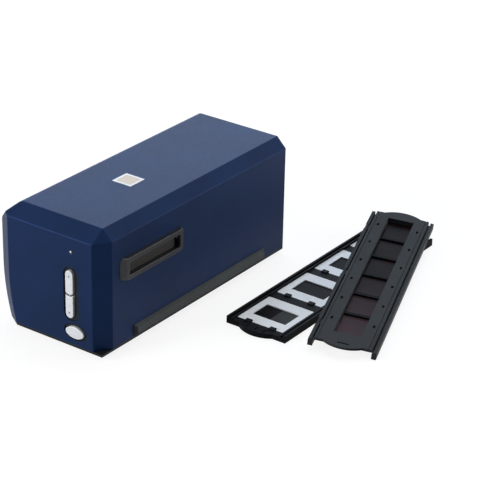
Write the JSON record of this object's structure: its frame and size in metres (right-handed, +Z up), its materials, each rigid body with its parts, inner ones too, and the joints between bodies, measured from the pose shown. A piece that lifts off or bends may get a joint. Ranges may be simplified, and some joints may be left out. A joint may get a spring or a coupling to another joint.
{
  "type": "film negative scanner",
  "caption": "Long desktop film scanner with bevelled case, a sprung-flap film slot across it, push buttons, a moving scan carriage, and loose slide and hinged strip holders.",
  "frame": {"origin": "on the table, under the middle of the scanner's case", "axes": "+Z up; -Y is the front face with the buttons; the film slot runs along X"},
  "size_m": [0.3107, 0.3929, 0.1193],
  "materials": {
    "case_blue": "fine textured satin",
    "black_abs": "fine matt",
    "rail_grey": "fine matt",
    "foot_rubber": "matt",
    "steel": "bright",
    "label_white": "satin paper",
    "opal": "translucent opal",
    "spring_steel": "bright",
    "flap_grey": "satin",
    "button_white": "pearl satin",
    "led_clear": "clear",
    "board_green": "solder mask",
    "socket_metal": "tinned",
    "socket_black": "satin",
    "chassis_steel": "zinc plated",
    "clip_plastic": "satin",
    "carriage_black": "dead matt",
    "mirror": "first surface",
    "lens_black": "black anodised",
    "glass": "coated glass",
    "ceramic": "ceramic package",
    "brass": "turned",
    "motor_can": "plated can",
    "slide_holder_black": "satin",
    "mount_white": "satin",
    "slide_film": "glossy film",
    "strip_holder_grey": "satin",
    "negative_film": "glossy film"
  },
  "bodies": {
    "scanner": {"upper_cover": "case_blue", "base_tray": "black_abs", "rear_panel": "black_abs", "slot_bezel_right": "black_abs", "slot_bezel_left": "black_abs", "side_rail": "rail_grey", "rubber_feet": "foot_rubber", "cover_screws": "steel", "chassis_screws": "steel", "top_label": "label_white", "channel_floor": "carriage_black", "channel_roof": "carriage_black", "diffuser_window": "opal", "detent_spring": "spring_steel", "flap_pins": "steel", "button_escutcheon": "black_abs", "power_escutcheon": "black_abs", "led_light_pipe": "led_clear", "button_board": "board_green", "board_screws": "steel", "main_board": "board_green", "usb_socket": "socket_metal", "dc_jack": "socket_black", "chassis_plate": "chassis_steel", "guide_rods": "steel", "rod_clips": "clip_plastic", "screw_bearing": "clip_plastic", "stepper_motor": "motor_can", "motor_bracket": "chassis_steel"},
    "upper_button": {"scan_button_upper": "button_white"},
    "lower_button": {"scan_button_lower": "button_white"},
    "power_key": {"power_button": "button_white"},
    "right_flap": {"dust_flap_right": "flap_grey"},
    "left_flap": {"dust_flap_left": "flap_grey"},
    "carriage": {"carriage_frame": "carriage_black", "fold_mirror": "mirror", "lamp_bar": "clip_plastic", "lens_barrel": "lens_black", "lens_elements": "glass", "ccd_sensor": "ceramic", "ccd_board": "board_green", "lead_nut": "brass"},
    "drive_screw": {"lead_screw": "steel"},
    "slide_holder": {"slide_holder_frame": "slide_holder_black", "slide_mounts": "mount_white", "slide_films": "slide_film"},
    "strip_holder": {"strip_holder_base": "strip_holder_grey", "strip_hinge_pins": "steel", "film_strip": "negative_film"},
    "strip_cover": {"strip_holder_cover": "strip_holder_grey"}
  },
  "joints": [
    {"name": "upper_button_press", "type": "slide", "parent": "scanner", "child": "upper_button", "axis": [0, 1, 0], "range_m": [0, 0.001], "stiffness_N_per_m": 900},
    {"name": "lower_button_press", "type": "slide", "parent": "scanner", "child": "lower_button", "axis": [0, 1, 0], "range_m": [0, 0.001], "stiffness_N_per_m": 900},
    {"name": "power_button_press", "type": "slide", "parent": "scanner", "child": "power_key", "axis": [0, 1, 0], "range_m": [0, 0.001], "stiffness_N_per_m": 900},
    {"name": "right_flap_swing", "type": "hinge", "parent": "scanner", "child": "right_flap", "pos_m": [0.059, -0.0665, 0.08235], "axis": [0, 1, 0], "range_deg": [-85, 85], "stiffness_Nm_per_rad": 0.002},
    {"name": "left_flap_swing", "type": "hinge", "parent": "scanner", "child": "left_flap", "pos_m": [-0.0598, -0.0665, 0.08235], "axis": [0, -1, 0], "range_deg": [-85, 85], "stiffness_Nm_per_rad": 0.002},
    {"name": "scan_travel", "type": "slide", "parent": "scanner", "child": "carriage", "axis": [0, -1, 0], "range_m": [0, 0.042]},
    {"name": "screw_turn", "type": "hinge", "parent": "scanner", "child": "drive_screw", "pos_m": [-0.04203, 0, 0.024], "axis": [0, 1, 0], "range_deg": [0, 2525]},
    {"name": "slide_holder_lift", "type": "slide", "parent": "scanner", "child": "slide_holder", "axis": [0, 0, 1], "range_m": [0, 0.15]},
    {"name": "strip_holder_lift", "type": "slide", "parent": "slide_holder", "child": "strip_holder", "axis": [0, 0, 1], "range_m": [0, 0.15]},
    {"name": "strip_cover_hinge", "type": "hinge", "parent": "strip_holder", "child": "strip_cover", "pos_m": [0.14482, 0.11338, 0.01377], "axis": [0.3427, -0.9389, -0.0308], "range_deg": [0, 105]}
  ],
  "couplings": [
    {"joint": "screw_turn", "follows": "scan_travel", "rad_per_m": 1047.2}
  ]
}
